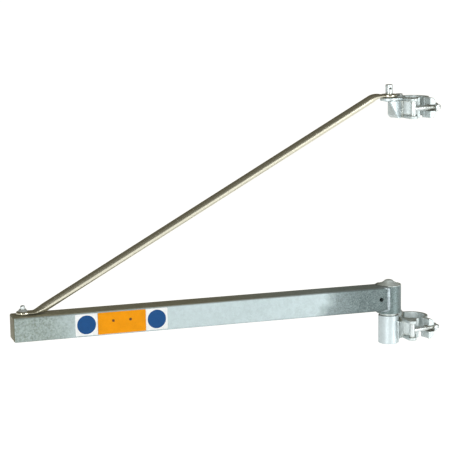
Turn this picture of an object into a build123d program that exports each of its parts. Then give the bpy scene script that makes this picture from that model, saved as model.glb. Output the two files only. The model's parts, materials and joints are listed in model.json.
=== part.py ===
from build123d import *
import os
from math import atan2, cos, radians, sin, sqrt, tan

# Slewing winch jib for upright scaffold tube, in millimetres.
# The origin is on the tube's axis at the middle of the lower coupler, +Z runs up the tube,
# and the jib points along -X. The brackets stand a little turned from the jib in this pose.

# Tube, couplers' places on it, and the slewing axis
tube_radius = 24.15
coupler_spacing = 374.5
hub_gap = 1.15
rest_turn = 12.0

# Clearances: turning fits, fixed fits, and faces that lie on each other
running_clearance = 0.08
fixed_clearance = 0.02
seat_clearance = 0.3

# Coupler body and flap
clamp_clearance = 0.05
coupler_height = 34.0
band_wall = 5.0
parting_gap = 8.0
boss_depth = 12.3
boss_width = 22.0
boss_chamfer = 4.5
saddle_width = 30.0
coupler_rounding = 1.2

# Hinge at the back of a coupler
knuckle_radius = 8.0
knuckle_sink = 1.2
knuckle_height = 12.0
knuckle_gap = 0.4
knuckle_web = 13.0
hinge_pin_radius = 4.0
hinge_head_radius = 6.5
hinge_head_height = 2.5

# T-bolt, its ears on the body, the fork on the flap, and the collar nut
bolt_gap = 3.8
bolt_setback = 24.0
bolt_radius = 4.0
bolt_tail = 6.0
bolt_chamfer = 1.0
t_head_radius = 4.5
t_head_inset = 0.5
ear_radius = 7.5
ear_thickness = 5.0
ear_front_angle = 255.0
ear_boss_angle = 198.0
fork_root = 5.0
fork_seat = 16.5
fork_reach = 8.0
fork_heel_angle = -30.0
fork_rounding = 8.0
fork_play = 1.0
nut_length = 8.0
nut_flats = 13.0
nut_collar_radius = 9.0
nut_rim = 1.4
nut_cone = 1.8
nut_cone_angle = 40.0
nut_chamfer_angle = 60.0

# Lower bracket: pivot sleeve and thrust washer
sleeve_radius = 17.5
sleeve_bottom = -25.0
sleeve_length = 49.0
sleeve_chamfer = 1.0
washer_radius = 15.0
washer_bore_play = 0.5
washer_thickness = 4.0
washer_play = 0.2

# Upper bracket: top plate, gusset and pin
plate_thickness = 5.0
plate_half_width = 15.0
gusset_thickness = 4.0
gusset_reach = 8.0
gusset_foot = 4.6
gusset_lap = 8.0
upper_pin_radius = 6.0
upper_pin_height = 22.0
upper_pin_chamfer = 1.2
cross_hole_radius = 2.0
cross_hole_drop = 6.5

# Hub and pivot pin
hub_margin = 1.2
hub_wall = 4.0
hub_crown = 1.0
ring_thickness = 6.0
cover_inset = 0.6
cover_rise = 4.2
cover_collar = 0.4
pivot_radius = 10.0
pivot_dome = 9.0
pivot_dome_rounding = 7.5
pivot_inset = 1.0

# Beam
jib_reach = 642.0
beam_size = 40.0
beam_wall = 3.0
beam_corner = 3.0
beam_rise = 6.0
cap_thickness = 3.0
vent_radius = 3.5
vent_place = 21.5

# Tie rod
rod_radius = 7.0
rod_flat = 6.2
rod_flat_width = 20.0
rod_bend = 34.0
rod_mid_width = 17.0
rod_mid_height = 10.4
rod_crown = 0.1
eye_radius = 13.0
eye_bend_place = 24.0
foot_radius = 11.0
foot_bend_place = 26.0
foot_lift = 1.7
rod_rounding = 2.2

# Tip pin
tip_pin_radius = 4.0
tip_pin_setback = 18.0
tip_pin_height = 5.6
tip_pin_rounding = 3.0
tip_pin_tail = 3.0
tip_washer_radius = 8.0
tip_washer_crown = 5.0
tip_washer_thickness = 3.6

# Rating plate
rating_width = 78.0
rating_height = 35.0
rating_thickness = 0.8
rating_place = 469.5
rating_corner = 1.5
rivet_radius = 2.2
rivet_height = 0.8
rivet_spacing = 28.0
rivet_rise = 3.5

# Sizes that follow from the ones above
turn = radians(rest_turn)
bore_radius = tube_radius + clamp_clearance
band_radius = bore_radius + band_wall
half_height = coupler_height / 2
boss_reach = band_radius + boss_depth
boss_top = half_height - plate_thickness
hinge_offset = band_radius + knuckle_radius - knuckle_sink
bolt_offset = band_radius + bolt_gap + bolt_radius
seat_distance = bolt_setback + fork_seat
bolt_length = seat_distance + seat_clearance + nut_length + bolt_tail
fork_slot = 2 * (bolt_radius + fork_play)
hub_radius = beam_size / 2 + hub_margin
hub_height = beam_rise + beam_size + hub_crown
arm_offset = tube_radius + hub_gap + hub_radius
bolt_spot = (-bolt_setback, -bolt_offset)
hinge_spot = (0, hinge_offset)
slew_x = -arm_offset * cos(turn)
slew_y = -arm_offset * sin(turn)
plate_bottom = coupler_spacing + boss_top
plate_top = plate_bottom + plate_thickness
sleeve_top = sleeve_bottom + sleeve_length
hub_bottom = sleeve_top + washer_thickness + washer_play
hub_top = hub_bottom + hub_height
beam_bottom = hub_bottom + beam_rise
beam_top = beam_bottom + beam_size
beam_middle = beam_bottom + beam_size / 2
tip_pin_place = jib_reach - tip_pin_setback
eye_bottom = plate_top + seat_clearance
foot_bottom = beam_top
foot_top = foot_bottom + rod_flat


def coupler_plane(height):
    """Level plane at a height on the tube's axis, with x running away from the slewing axis."""
    return Plane(origin=(0, 0, height), x_dir=(cos(turn), sin(turn), 0), z_dir=(0, 0, 1))


def bolt_plane(height, distance):
    """Plane across a T-bolt, at a distance along the bolt from its swinging axis."""
    base = coupler_plane(height)
    spot = base.from_local_coords((bolt_spot[0] + distance, bolt_spot[1], 0))
    return Plane(origin=spot, x_dir=(0, 0, 1), z_dir=base.x_dir)


def jib_plane(height):
    """Level plane at a height on the slewing axis, with x toward the tip and y to the front."""
    return Plane(origin=(slew_x, slew_y, height), x_dir=(-1, 0, 0), z_dir=(0, 0, 1))


def jib_section(distance):
    """Upright plane across the beam, with x to the front, y up and z toward the tip."""
    return Plane(origin=(slew_x - distance, slew_y, 0), x_dir=(0, -1, 0), z_dir=(-1, 0, 0))


def rod_section(distance, height, slope):
    """Plane across the tie rod where it runs downhill at a slope, in radians."""
    heading = (-cos(slope), 0, -sin(slope))
    return Plane(origin=(slew_x - distance, slew_y, height), x_dir=(0, -1, 0), z_dir=heading)


def on_circle(radius, angle):
    """Point on a circle about the tube's axis."""
    return (radius * cos(radians(angle)), radius * sin(radians(angle)))


def ear_outline():
    """Corners of an ear between the round at the T-bolt and the coupler's band."""
    inner_radius = band_radius - band_wall / 4
    return [
        (bolt_spot[0] + ear_radius, bolt_spot[1]),
        on_circle(inner_radius, ear_front_angle),
        on_circle(inner_radius, ear_boss_angle),
        (bolt_spot[0] - ear_radius, bolt_spot[1]),
    ]


def knuckle_outline(side):
    """Corners of the web between a knuckle and the band, on one side of the parting gap."""
    inner_radius = band_radius - band_wall / 4
    return [
        hinge_spot,
        (side * knuckle_radius, hinge_offset),
        (side * knuckle_web, sqrt(inner_radius**2 - knuckle_web**2)),
        (side * parting_gap / 2, bore_radius + band_wall / 2),
    ]


def save(builder, name):
    """Label a finished piece and write it to its file."""
    builder.part.label = name
    export_step(builder.part, f"parts/{name}.step")


def make_coupler_body(name, height, carries_sleeve):
    """Half of a coupler on the jib's side, with boss, outer knuckles and the T-bolt's ears."""
    base = coupler_plane(height)
    outward = Axis(base.origin, base.x_dir)
    with BuildPart() as body:
        with BuildSketch(base):
            Circle(band_radius)
            with Locations((-parting_gap / 2, 0)):
                Rectangle(
                    2 * band_radius,
                    2 * band_radius,
                    align=(Align.MIN, Align.CENTER),
                    mode=Mode.SUBTRACT,
                )
        extrude(amount=half_height, both=True)
        fillet(body.edges().filter_by(GeomType.CIRCLE), radius=coupler_rounding)
        # Ears above and below the T-bolt
        for side in (-1, 1):
            with BuildSketch(base.offset(side * half_height)):
                with Locations(bolt_spot):
                    Circle(ear_radius)
                Polygon(*ear_outline(), align=None)
            extrude(amount=-side * ear_thickness)
        # Boss with a chamfered foot, broader where it is a saddle for the sleeve
        breadth = saddle_width if carries_sleeve else boss_width
        with BuildSketch(base.offset(-half_height)):
            with Locations((-boss_reach, 0)):
                Rectangle(boss_reach - bore_radius / 2, breadth, align=(Align.MIN, Align.CENTER))
        extrude(amount=half_height + boss_top)
        boss_face = body.faces().sort_by(outward)[0]
        chamfer(boss_face.edges().sort_by(Axis.Z)[0], length=boss_chamfer)
        # Room for the flap's knuckle, then the two outer knuckles
        with BuildSketch(base):
            with Locations(hinge_spot):
                Circle(knuckle_radius + knuckle_gap)
        extrude(amount=knuckle_height / 2 + knuckle_gap, both=True, mode=Mode.SUBTRACT)
        for side in (-1, 1):
            with BuildSketch(base.offset(side * half_height)):
                with Locations(hinge_spot):
                    Circle(knuckle_radius)
                Polygon(*knuckle_outline(-1), align=None)
            extrude(amount=-side * (half_height - knuckle_height / 2 - knuckle_gap))
        # Tube bore, hinge pin hole and T-bolt hole
        with BuildSketch(base):
            Circle(bore_radius)
            with Locations(hinge_spot):
                Circle(hinge_pin_radius + fixed_clearance)
            with Locations(bolt_spot):
                Circle(t_head_radius + running_clearance)
        extrude(amount=coupler_height, both=True, mode=Mode.SUBTRACT)
        if carries_sleeve:
            with BuildSketch(base):
                with Locations((-arm_offset, 0)):
                    Circle(sleeve_radius + fixed_clearance)
            extrude(amount=coupler_height, both=True, mode=Mode.SUBTRACT)
    save(body, name)


def make_coupler_flap(name, height):
    """Hinged half of a coupler, with the middle knuckle and the fork that takes the T-bolt."""
    base = coupler_plane(height)
    fork_front = -bolt_offset - fork_reach
    fork_base = band_radius - band_wall / 4
    with BuildPart() as flap:
        with BuildSketch(base):
            Circle(band_radius)
            with Locations((parting_gap / 2, 0)):
                Rectangle(
                    2 * band_radius,
                    2 * band_radius,
                    align=(Align.MAX, Align.CENTER),
                    mode=Mode.SUBTRACT,
                )
        extrude(amount=half_height, both=True)
        fillet(flap.edges().filter_by(GeomType.CIRCLE), radius=coupler_rounding)
        # Fork: its outer face is round about the T-bolt's swinging axis, so the nut can swing off it
        with BuildSketch(base):
            with BuildLine():
                Polyline(
                    (fork_root, fork_front),
                    (seat_distance, fork_front),
                    (seat_distance, 0),
                    on_circle(fork_base, fork_heel_angle),
                    (fork_root, -sqrt(fork_base**2 - fork_root**2)),
                    close=True,
                )
            make_face()
            with Locations(bolt_spot):
                Circle(seat_distance, mode=Mode.INTERSECT)
        extrude(amount=half_height, both=True)
        rims = flap.edges().filter_by(GeomType.CIRCLE)
        fillet([rim for rim in rims if abs(rim.radius - seat_distance) < fixed_clearance], radius=fork_rounding)
        with BuildSketch(base):
            with Locations((0, -bolt_offset + bolt_radius + fork_play)):
                Rectangle(
                    2 * seat_distance,
                    2 * bolt_offset,
                    align=(Align.CENTER, Align.MAX),
                )
        extrude(amount=fork_slot / 2, both=True, mode=Mode.SUBTRACT)
        # Room for the body's knuckles, then the middle knuckle
        for side in (-1, 1):
            with BuildSketch(base.offset(side * half_height)):
                with Locations(hinge_spot):
                    Circle(knuckle_radius + knuckle_gap)
            extrude(amount=-side * (half_height - knuckle_height / 2), mode=Mode.SUBTRACT)
        with BuildSketch(base):
            with Locations(hinge_spot):
                Circle(knuckle_radius)
            Polygon(*knuckle_outline(1), align=None)
        extrude(amount=knuckle_height / 2, both=True)
        # Tube bore and hinge pin hole
        with BuildSketch(base):
            Circle(bore_radius)
            with Locations(hinge_spot):
                Circle(hinge_pin_radius + running_clearance)
        extrude(amount=coupler_height, both=True, mode=Mode.SUBTRACT)
    save(flap, name)


def make_hinge_pin(name, height):
    """Rivet through the knuckles at the back of a coupler."""
    base = coupler_plane(height)
    with BuildPart() as pin:
        with BuildSketch(base):
            with Locations(hinge_spot):
                Circle(hinge_pin_radius)
        extrude(amount=half_height, both=True)
        for side in (-1, 1):
            with BuildSketch(base.offset(side * half_height)):
                with Locations(hinge_spot):
                    Circle(hinge_head_radius)
            extrude(amount=side * hinge_head_height)
        rims = pin.edges().filter_by(GeomType.CIRCLE).sort_by(Axis.Z)
        fillet([rims[0], rims[-1]], radius=hinge_head_height * 0.7)
    save(pin, name)


def make_t_bolt(name, height):
    """Bolt with a round cross head that swings in the ears of the coupler body."""
    base = coupler_plane(height)
    with BuildPart() as bolt:
        with BuildSketch(bolt_plane(height, 0)):
            Circle(bolt_radius)
        extrude(amount=bolt_length)
        chamfer(bolt.edges().sort_by(Axis(base.origin, base.x_dir))[-1], length=bolt_chamfer)
        with BuildSketch(base):
            with Locations(bolt_spot):
                Circle(t_head_radius)
        extrude(amount=half_height - t_head_inset, both=True)
    save(bolt, name)


def make_collar_nut(name, height):
    """Six-sided nut with a sloping collar, which bears on the fork."""
    face = bolt_plane(height, seat_distance + seat_clearance)
    spread = nut_length * tan(radians(nut_chamfer_angle))
    with BuildPart() as nut:
        with BuildSketch(face):
            RegularPolygon(nut_flats / 2, 6, major_radius=False)
        extrude(amount=nut_length)
        # Turned end of the six sides, then the collar
        with Locations(face):
            Cone(
                nut_flats / 2 + spread,
                nut_flats / 2,
                nut_length,
                align=(Align.CENTER, Align.CENTER, Align.MIN),
                mode=Mode.INTERSECT,
            )
        with BuildSketch(face):
            Circle(nut_collar_radius)
        extrude(amount=nut_rim)
        with BuildSketch(face.offset(nut_rim)):
            Circle(nut_collar_radius)
        extrude(amount=nut_cone, taper=nut_cone_angle)
        with BuildSketch(face):
            Circle(bolt_radius + running_clearance)
        extrude(amount=nut_length, mode=Mode.SUBTRACT)
    save(nut, name)


def make_pivot_sleeve():
    """Upright tube on the lower coupler, in which the pivot pin turns."""
    with BuildPart() as sleeve:
        with BuildSketch(jib_plane(sleeve_bottom)):
            Circle(sleeve_radius)
            Circle(pivot_radius + running_clearance, mode=Mode.SUBTRACT)
        extrude(amount=sleeve_length)
        chamfer(sleeve.faces().sort_by(Axis.Z)[0].edges(), length=sleeve_chamfer)
        chamfer(sleeve.faces().sort_by(Axis.Z)[-1].edges(), length=sleeve_chamfer)
    save(sleeve, "pivot_sleeve")


def make_thrust_washer():
    """Ring that carries the hub on top of the sleeve."""
    with BuildPart() as washer:
        with BuildSketch(jib_plane(sleeve_top)):
            Circle(washer_radius)
            Circle(pivot_radius + washer_bore_play, mode=Mode.SUBTRACT)
        extrude(amount=washer_thickness)
    save(washer, "thrust_washer")


def make_top_plate():
    """Plate welded to the upper coupler, round about the upper pin and coped round the ear."""
    with BuildPart() as plate:
        with BuildSketch(coupler_plane(plate_bottom)):
            with Locations((-arm_offset, 0)):
                Circle(plate_half_width)
                Rectangle(arm_offset, 2 * plate_half_width, align=(Align.MIN, Align.CENTER))
                Circle(upper_pin_radius + fixed_clearance, mode=Mode.SUBTRACT)
            Circle(band_radius + fixed_clearance, mode=Mode.SUBTRACT)
            Polygon(*ear_outline(), align=None, mode=Mode.SUBTRACT)
        extrude(amount=plate_thickness)
    save(plate, "top_plate")


def make_gusset():
    """Sloping cheek under the front of the top plate, beside the boss of the upper coupler."""
    base = coupler_plane(coupler_spacing)
    front = Plane(
        origin=base.from_local_coords((0, -boss_width / 2, 0)),
        x_dir=base.x_dir,
        z_dir=-base.y_dir,
    )
    with BuildPart() as gusset:
        with BuildSketch(front):
            Polygon(
                (-arm_offset - gusset_reach, boss_top),
                (-boss_reach + gusset_lap, boss_top),
                (-boss_reach + gusset_lap, -half_height),
                (-boss_reach + gusset_lap - gusset_foot, -half_height),
                align=None,
            )
        extrude(amount=gusset_thickness)
    save(gusset, "gusset")


def make_upper_pin():
    """Pin standing on the top plate, with a cross hole for a clip."""
    with BuildPart() as pin:
        with BuildSketch(jib_plane(plate_bottom)):
            Circle(upper_pin_radius)
        extrude(amount=plate_thickness + upper_pin_height)
        chamfer(pin.faces().sort_by(Axis.Z)[-1].edges(), length=upper_pin_chamfer)
        hole_height = plate_top + upper_pin_height - cross_hole_drop
        across = Plane(origin=(slew_x, slew_y, hole_height), z_dir=(0, -1, 0))
        with BuildSketch(across):
            Circle(cross_hole_radius)
        extrude(amount=2 * upper_pin_radius, both=True, mode=Mode.SUBTRACT)
    save(pin, "upper_pin")


def make_hub_tube():
    """Tube at the beam's inner end."""
    with BuildPart() as hub:
        with BuildSketch(jib_plane(hub_bottom)):
            Circle(hub_radius)
            Circle(hub_radius - hub_wall, mode=Mode.SUBTRACT)
        extrude(amount=hub_height)
    save(hub, "hub_tube")


def make_hub_top_ring():
    """Ring in the top of the hub tube, with a cone on it that rises to the pin's head."""
    with BuildPart() as ring:
        with BuildSketch(jib_plane(hub_top - ring_thickness)):
            Circle(hub_radius - hub_wall - fixed_clearance)
        extrude(amount=ring_thickness)
        with Locations(jib_plane(hub_top)):
            Cone(
                hub_radius - cover_inset,
                pivot_radius + cover_collar,
                cover_rise,
                align=(Align.CENTER, Align.CENTER, Align.MIN),
            )
        with BuildSketch(jib_plane(hub_top - ring_thickness)):
            Circle(pivot_radius + fixed_clearance)
        extrude(amount=ring_thickness + cover_rise, mode=Mode.SUBTRACT)
    save(ring, "hub_top_ring")


def make_hub_bottom_ring():
    """Ring that holds the pivot pin in the bottom of the hub tube."""
    with BuildPart() as ring:
        with BuildSketch(jib_plane(hub_bottom)):
            Circle(hub_radius - hub_wall - fixed_clearance)
            Circle(pivot_radius + fixed_clearance, mode=Mode.SUBTRACT)
        extrude(amount=ring_thickness)
    save(ring, "hub_bottom_ring")


def make_pivot_pin():
    """Pin through the hub and down into the sleeve, with a domed head above the hub."""
    bottom = sleeve_bottom + pivot_inset
    with BuildPart() as pin:
        with BuildSketch(jib_plane(bottom)):
            Circle(pivot_radius)
        extrude(amount=hub_top + pivot_dome - bottom)
        fillet(pin.faces().sort_by(Axis.Z)[-1].edges(), radius=pivot_dome_rounding)
        chamfer(pin.faces().sort_by(Axis.Z)[0].edges(), length=pivot_inset)
    save(pin, "pivot_pin")


def make_jib_beam():
    """Square tube from the hub to the closing plate, coped round the hub."""
    with BuildPart() as beam:
        with BuildSketch(jib_section(0)):
            with Locations((0, beam_middle)):
                RectangleRounded(beam_size, beam_size, beam_corner)
                RectangleRounded(
                    beam_size - 2 * beam_wall,
                    beam_size - 2 * beam_wall,
                    beam_corner - beam_wall / 2,
                    mode=Mode.SUBTRACT,
                )
        extrude(amount=jib_reach - cap_thickness)
        with BuildSketch(jib_plane(hub_bottom)):
            Circle(hub_radius + fixed_clearance)
        extrude(amount=hub_height + beam_size, mode=Mode.SUBTRACT)
        # Vent in the front wall
        vent_plane = Plane(origin=(slew_x - vent_place, slew_y, beam_middle), z_dir=(0, -1, 0))
        with BuildSketch(vent_plane):
            Circle(vent_radius)
        extrude(amount=beam_size, mode=Mode.SUBTRACT)
        # Hole in the top wall for the tip pin
        with BuildSketch(jib_plane(beam_middle)):
            with Locations((tip_pin_place, 0)):
                Circle(tip_pin_radius + fixed_clearance)
        extrude(amount=beam_size, mode=Mode.SUBTRACT)
    save(beam, "jib_beam")


def make_end_cap():
    """Plate that closes the beam's tip."""
    with BuildPart() as cap:
        with BuildSketch(jib_section(jib_reach - cap_thickness)):
            with Locations((0, beam_middle)):
                RectangleRounded(beam_size, beam_size, beam_corner)
        extrude(amount=cap_thickness)
    save(cap, "beam_end_cap")


def make_tie_rod():
    """Round bar from the upper pin to the beam's tip, forged flat at the eye and at the foot."""
    eye_middle = eye_bottom + rod_flat / 2
    foot_middle = foot_bottom + rod_flat / 2
    upper_bend = eye_bend_place
    lower_bend = tip_pin_place - foot_bend_place
    lower_corner = foot_middle + foot_lift
    slope = atan2(eye_middle - lower_corner, lower_bend - upper_bend)
    lead = rod_bend * tan(slope / 2)
    sag = rod_bend * (1 / cos(slope / 2) - 1)
    sag_x = sag * sin(slope / 2)
    sag_z = sag * cos(slope / 2)
    eye_neck = rod_section(upper_bend - lead, eye_middle, 0)
    foot_neck = rod_section(lower_bend + lead, foot_middle, 0)
    bar_start = rod_section(upper_bend + lead * cos(slope), eye_middle - lead * sin(slope), slope)
    bar_end = rod_section(lower_bend - lead * cos(slope), lower_corner + lead * sin(slope), slope)
    with BuildPart() as rod:
        # Flat eye and flat foot, with rounded rims
        with BuildSketch(jib_plane(eye_bottom)):
            Circle(eye_radius)
        extrude(amount=rod_flat)
        with BuildSketch(jib_plane(foot_bottom)):
            with Locations((tip_pin_place, 0)):
                Circle(foot_radius)
        extrude(amount=rod_flat)
        fillet(rod.edges().filter_by(GeomType.CIRCLE), radius=rod_rounding)
        with BuildSketch(eye_neck):
            Ellipse(rod_flat_width / 2, rod_flat / 2 - rod_crown)
        extrude(amount=lead - upper_bend)
        with BuildSketch(foot_neck):
            Ellipse(rod_flat_width / 2, rod_flat / 2 - rod_crown)
        extrude(amount=foot_bend_place - lead)
        # Bends, drawn from flat to round
        with BuildSketch(eye_neck):
            Ellipse(rod_flat_width / 2, rod_flat / 2 - rod_crown)
        with BuildSketch(rod_section(upper_bend - sag_x, eye_middle - sag_z, slope / 2)):
            Ellipse(rod_mid_width / 2, rod_mid_height / 2)
        with BuildSketch(bar_start):
            Ellipse(rod_radius, rod_radius)
        loft()
        with BuildSketch(bar_end):
            Ellipse(rod_radius, rod_radius)
        with BuildSketch(rod_section(lower_bend + sag_x, lower_corner + sag_z, slope / 2)):
            Ellipse(rod_mid_width / 2, rod_mid_height / 2)
        with BuildSketch(foot_neck):
            Ellipse(rod_flat_width / 2, rod_flat / 2 - rod_crown)
        loft()
        # Straight bar between the bends
        with BuildSketch(bar_start):
            Circle(rod_radius)
        extrude(amount=(bar_end.origin - bar_start.origin).length)
        # Holes for the two pins
        with BuildSketch(jib_plane(eye_bottom)):
            Circle(upper_pin_radius + running_clearance)
        extrude(amount=rod_flat, mode=Mode.SUBTRACT)
        with BuildSketch(jib_plane(foot_bottom)):
            with Locations((tip_pin_place, 0)):
                Circle(tip_pin_radius + fixed_clearance)
        extrude(amount=rod_flat, mode=Mode.SUBTRACT)
    save(rod, "tie_rod")


def make_tip_pin():
    """Pin through the foot of the tie rod into the beam, with a rounded top."""
    bottom = beam_top - beam_wall - tip_pin_tail
    with BuildPart() as pin:
        with BuildSketch(jib_plane(bottom)):
            with Locations((tip_pin_place, 0)):
                Circle(tip_pin_radius)
        extrude(amount=foot_top + tip_washer_thickness + tip_pin_height - bottom)
        fillet(pin.faces().sort_by(Axis.Z)[-1].edges(), radius=tip_pin_rounding)
    save(pin, "tip_pin")


def make_tip_washer():
    """Conical washer round the tip pin, on the foot of the tie rod."""
    base = jib_plane(foot_top)
    spot = Plane(origin=base.from_local_coords((tip_pin_place, 0, 0)), z_dir=base.z_dir)
    with BuildPart() as washer:
        with Locations(spot):
            Cone(
                tip_washer_radius,
                tip_washer_crown,
                tip_washer_thickness,
                align=(Align.CENTER, Align.CENTER, Align.MIN),
            )
        with BuildSketch(spot):
            Circle(tip_pin_radius + fixed_clearance)
        extrude(amount=tip_washer_thickness, mode=Mode.SUBTRACT)
    save(washer, "tip_washer")


def rating_plane(depth):
    """Upright plane in front of the beam's front face, with x to the right and y up."""
    spot = (slew_x - rating_place, slew_y - beam_size / 2 - depth, beam_middle)
    return Plane(origin=spot, x_dir=(1, 0, 0), z_dir=(0, -1, 0))


def make_rating_plate():
    """Bare plate on the beam's front face."""
    with BuildPart() as plate:
        with BuildSketch(rating_plane(0)):
            RectangleRounded(rating_width, rating_height, rating_corner)
        extrude(amount=rating_thickness)
    save(plate, "rating_plate")


def make_plate_rivets():
    """Two rivet heads on the rating plate."""
    with BuildPart() as rivets:
        with BuildSketch(rating_plane(rating_thickness)):
            with Locations((-rivet_spacing / 2, rivet_rise), (rivet_spacing / 2, rivet_rise)):
                Circle(rivet_radius)
        extrude(amount=rivet_height)
        fillet(rivets.faces().group_by(Axis.Y)[0].edges(), radius=rivet_height * 0.8)
    save(rivets, "plate_rivets")


def main():
    os.makedirs("parts", exist_ok=True)
    for side, height, carries_sleeve in (("lower", 0.0, True), ("upper", coupler_spacing, False)):
        make_coupler_body(f"{side}_coupler_body", height, carries_sleeve)
        make_coupler_flap(f"{side}_coupler_flap", height)
        make_hinge_pin(f"{side}_hinge_pin", height)
        make_t_bolt(f"{side}_t_bolt", height)
        make_collar_nut(f"{side}_collar_nut", height)
    make_pivot_sleeve()
    make_thrust_washer()
    make_top_plate()
    make_gusset()
    make_upper_pin()
    make_hub_tube()
    make_hub_top_ring()
    make_hub_bottom_ring()
    make_pivot_pin()
    make_jib_beam()
    make_end_cap()
    make_tie_rod()
    make_tip_pin()
    make_tip_washer()
    make_rating_plate()
    make_plate_rivets()


main()
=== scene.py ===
import json
import math

import bmesh
import bpy
from bpy.props import FloatProperty, FloatVectorProperty, IntProperty, PointerProperty
from bpy.types import Operator, Panel, PropertyGroup
from mathutils import Matrix, Vector


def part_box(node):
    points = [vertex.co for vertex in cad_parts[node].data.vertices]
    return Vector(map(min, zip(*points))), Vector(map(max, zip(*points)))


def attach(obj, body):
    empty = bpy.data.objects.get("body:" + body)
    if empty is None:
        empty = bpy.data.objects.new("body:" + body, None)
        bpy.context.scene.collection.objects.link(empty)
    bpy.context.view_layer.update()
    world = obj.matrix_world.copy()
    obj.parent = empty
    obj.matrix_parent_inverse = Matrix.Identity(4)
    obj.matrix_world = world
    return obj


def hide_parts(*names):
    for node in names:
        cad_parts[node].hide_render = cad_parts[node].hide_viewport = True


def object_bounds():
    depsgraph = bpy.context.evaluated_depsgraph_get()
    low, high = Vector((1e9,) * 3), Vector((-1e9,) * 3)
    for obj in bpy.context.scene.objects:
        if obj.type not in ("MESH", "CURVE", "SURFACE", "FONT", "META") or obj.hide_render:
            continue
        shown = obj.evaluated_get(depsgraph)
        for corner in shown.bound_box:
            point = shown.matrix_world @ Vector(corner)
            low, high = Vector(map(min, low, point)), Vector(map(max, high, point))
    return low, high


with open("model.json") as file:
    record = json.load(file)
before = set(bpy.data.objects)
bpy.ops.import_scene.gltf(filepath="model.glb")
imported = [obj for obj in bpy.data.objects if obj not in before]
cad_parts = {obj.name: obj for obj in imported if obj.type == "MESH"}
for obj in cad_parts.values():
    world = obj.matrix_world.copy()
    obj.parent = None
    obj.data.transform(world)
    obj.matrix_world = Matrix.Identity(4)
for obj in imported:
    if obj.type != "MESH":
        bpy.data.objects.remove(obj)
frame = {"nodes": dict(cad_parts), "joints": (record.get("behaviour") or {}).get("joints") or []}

bl_info = {
    "name": "Slewing Winch Jib",
    "version": (1, 0, 0),
    "blender": (4, 5, 0),
    "location": "View3D > Sidebar > Jib",
    "description": "Finishes, stickers, welds, threads and studio for a slewing winch jib",
    "category": "Object",
}

CAD_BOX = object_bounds()
NODES = frame["nodes"]
JOINTS = {joint["name"]: joint for joint in frame["joints"]}
SIDES = ("lower", "upper")
PHOTO_PIXELS = 452
SENSOR_MM = 36.0
FULL_TURN = 2 * math.pi

# Angles beyond which an edge stays sharp, in degrees
SHARP_DEGREES = 35
ALL_SMOOTH_DEGREES = 180

# Least lengths that the formulas work with, in metres
LEAST_CORNER = 0.0001
SHORTEST_LEG = 1e-9

# Counts of sides, rings and steps
HEAD_SIDES = 40
THREAD_SIDES = 36
RINGS_IN_PITCH = 7
PLAIN_RINGS = 4
DISC_SIDES = 96
BEAD_SIDES = 14
STEPS_IN_RIPPLE = 6
SADDLE_STEPS = 16
SEAM_STEPS = 8
BAND_STEPS = 24
FILLET_SIDES = 96
FLOOR_SIDES = 96

# Stretches along the beam over which its zinc changes, and over which painted shade lies on its
# upper face and end face, in metres
HEATED = (-0.182, -0.158)
SCORCHED = (-0.160, -0.105)
TIP_DULLED = (-0.54, -0.60)
UPPER_SHADE_SPAN = (-0.40, -0.15)
END_SHADE_SPAN = (-0.67, -0.60)

# Ranges of a surface's direction that count as turned up and as turned to the tip
TURNED_UP = (0.5, 0.9)
TURNED_TO_TIP = (-0.9, -0.6)

# Range of open sky over a spot, from a shut corner to the open, and how many rays find it
SHUT_TO_OPEN = (0.35, 0.9)
SKY_SAMPLES = 8

# Forgings: strength of one rounding pass, share of the faces that is kept, and fewest faces
ROUNDING_FACTOR = 0.5
KEPT_FACES = 0.35
FEWEST_FACES = 100

# Beam's corner and its end cap's rim, as radii in metres
BEAM_CORNER = 0.003
CAP_RIM = 0.0028

# T-bolts, in metres: the head's rim as radius and distance from its end, and the shank
HEAD_RIM = ((0.0033, 0.0), (0.0039, 0.0001), (0.0043, 0.0006), (0.0044, 0.0012))
BOLT_RADIUS = 0.004
THREAD_START = 0.018
BOLT_TIP_INSET = 0.0002

# Thread: pitches until it is full, and slopes of its groove and of the bolt's tip
RUN_OUT_PITCHES = 2
GROOVE_SLOPE = 2.6
BOLT_TIP_SLOPE = 0.8

# Stickers, in metres
STICKER_GAP = 0.0004
STICKER_CORNER = 0.0015
STICKER_THICKNESS = 0.00025
DISC_THICKNESS = 0.00034
SHEET_LIP = 0.0001

# Waves on welds, each as a share of the size, a rate and a start
BEAD_SWELLS = ((0.07, 410.0, 0.0), (0.05, 1130.0, 1.3))
BEAD_RIPPLES = ((0.014, 1.0, 0.0), (0.010, 0.37, 0.0))
FILLET_SWELLS = ((0.012, 5, 0.4), (0.009, 13, 0.0))

# Bow of a ripple across its bead, in pitches, and least share of the section at a bead's end
RIPPLE_BOW = 0.6
BEAD_END = 0.02

# Radii of the weld beads, in metres, and how many times its height the beam's bead is wide
BEAM_BEAD = 0.0018
BEAM_BEAD_WIDTH = 1.7
COVER_BEAD = 0.0010
SLEEVE_BEAD = 0.0020
GUSSET_BEAD = 0.0020
PLATE_BEAD = 0.0010
PIN_BEAD = 0.0015

# Lines of the jib's beads, in metres
BEAM_BEAD_SET_OUT = 0.0012
BEAM_BEAD_HEART = 0.011
COVER_INSET = 0.0004

# Lines and hearts of the bracket's beads, in metres along, across and up, and in degrees
SADDLE_HALF = 0.015
BOSS_CHAMFER_START = -0.037
SLEEVE_HEART = (-0.030, 0, -0.002)
GUSSET_SEAM = (-0.0330, -0.0122)
GUSSET_SEAM_INSET = 0.001
GUSSET_HEART = (-0.02, 0)
PLATE_LAP_START = -0.0525
PLATE_LAP_LENGTH = 0.0185
PLATE_LAP_SIDE = -0.0152
PLATE_LAP_HEART = (-0.04, -0.010)
PLATE_LAP_HEART_RISE = 0.01
BAND_RADIUS = 0.0293
BAND_FIRST_DEGREE = 162
BAND_DEGREES = 47
BAND_SINK = 0.0002
PIN_WELD_RADIUS = 0.0062

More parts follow.
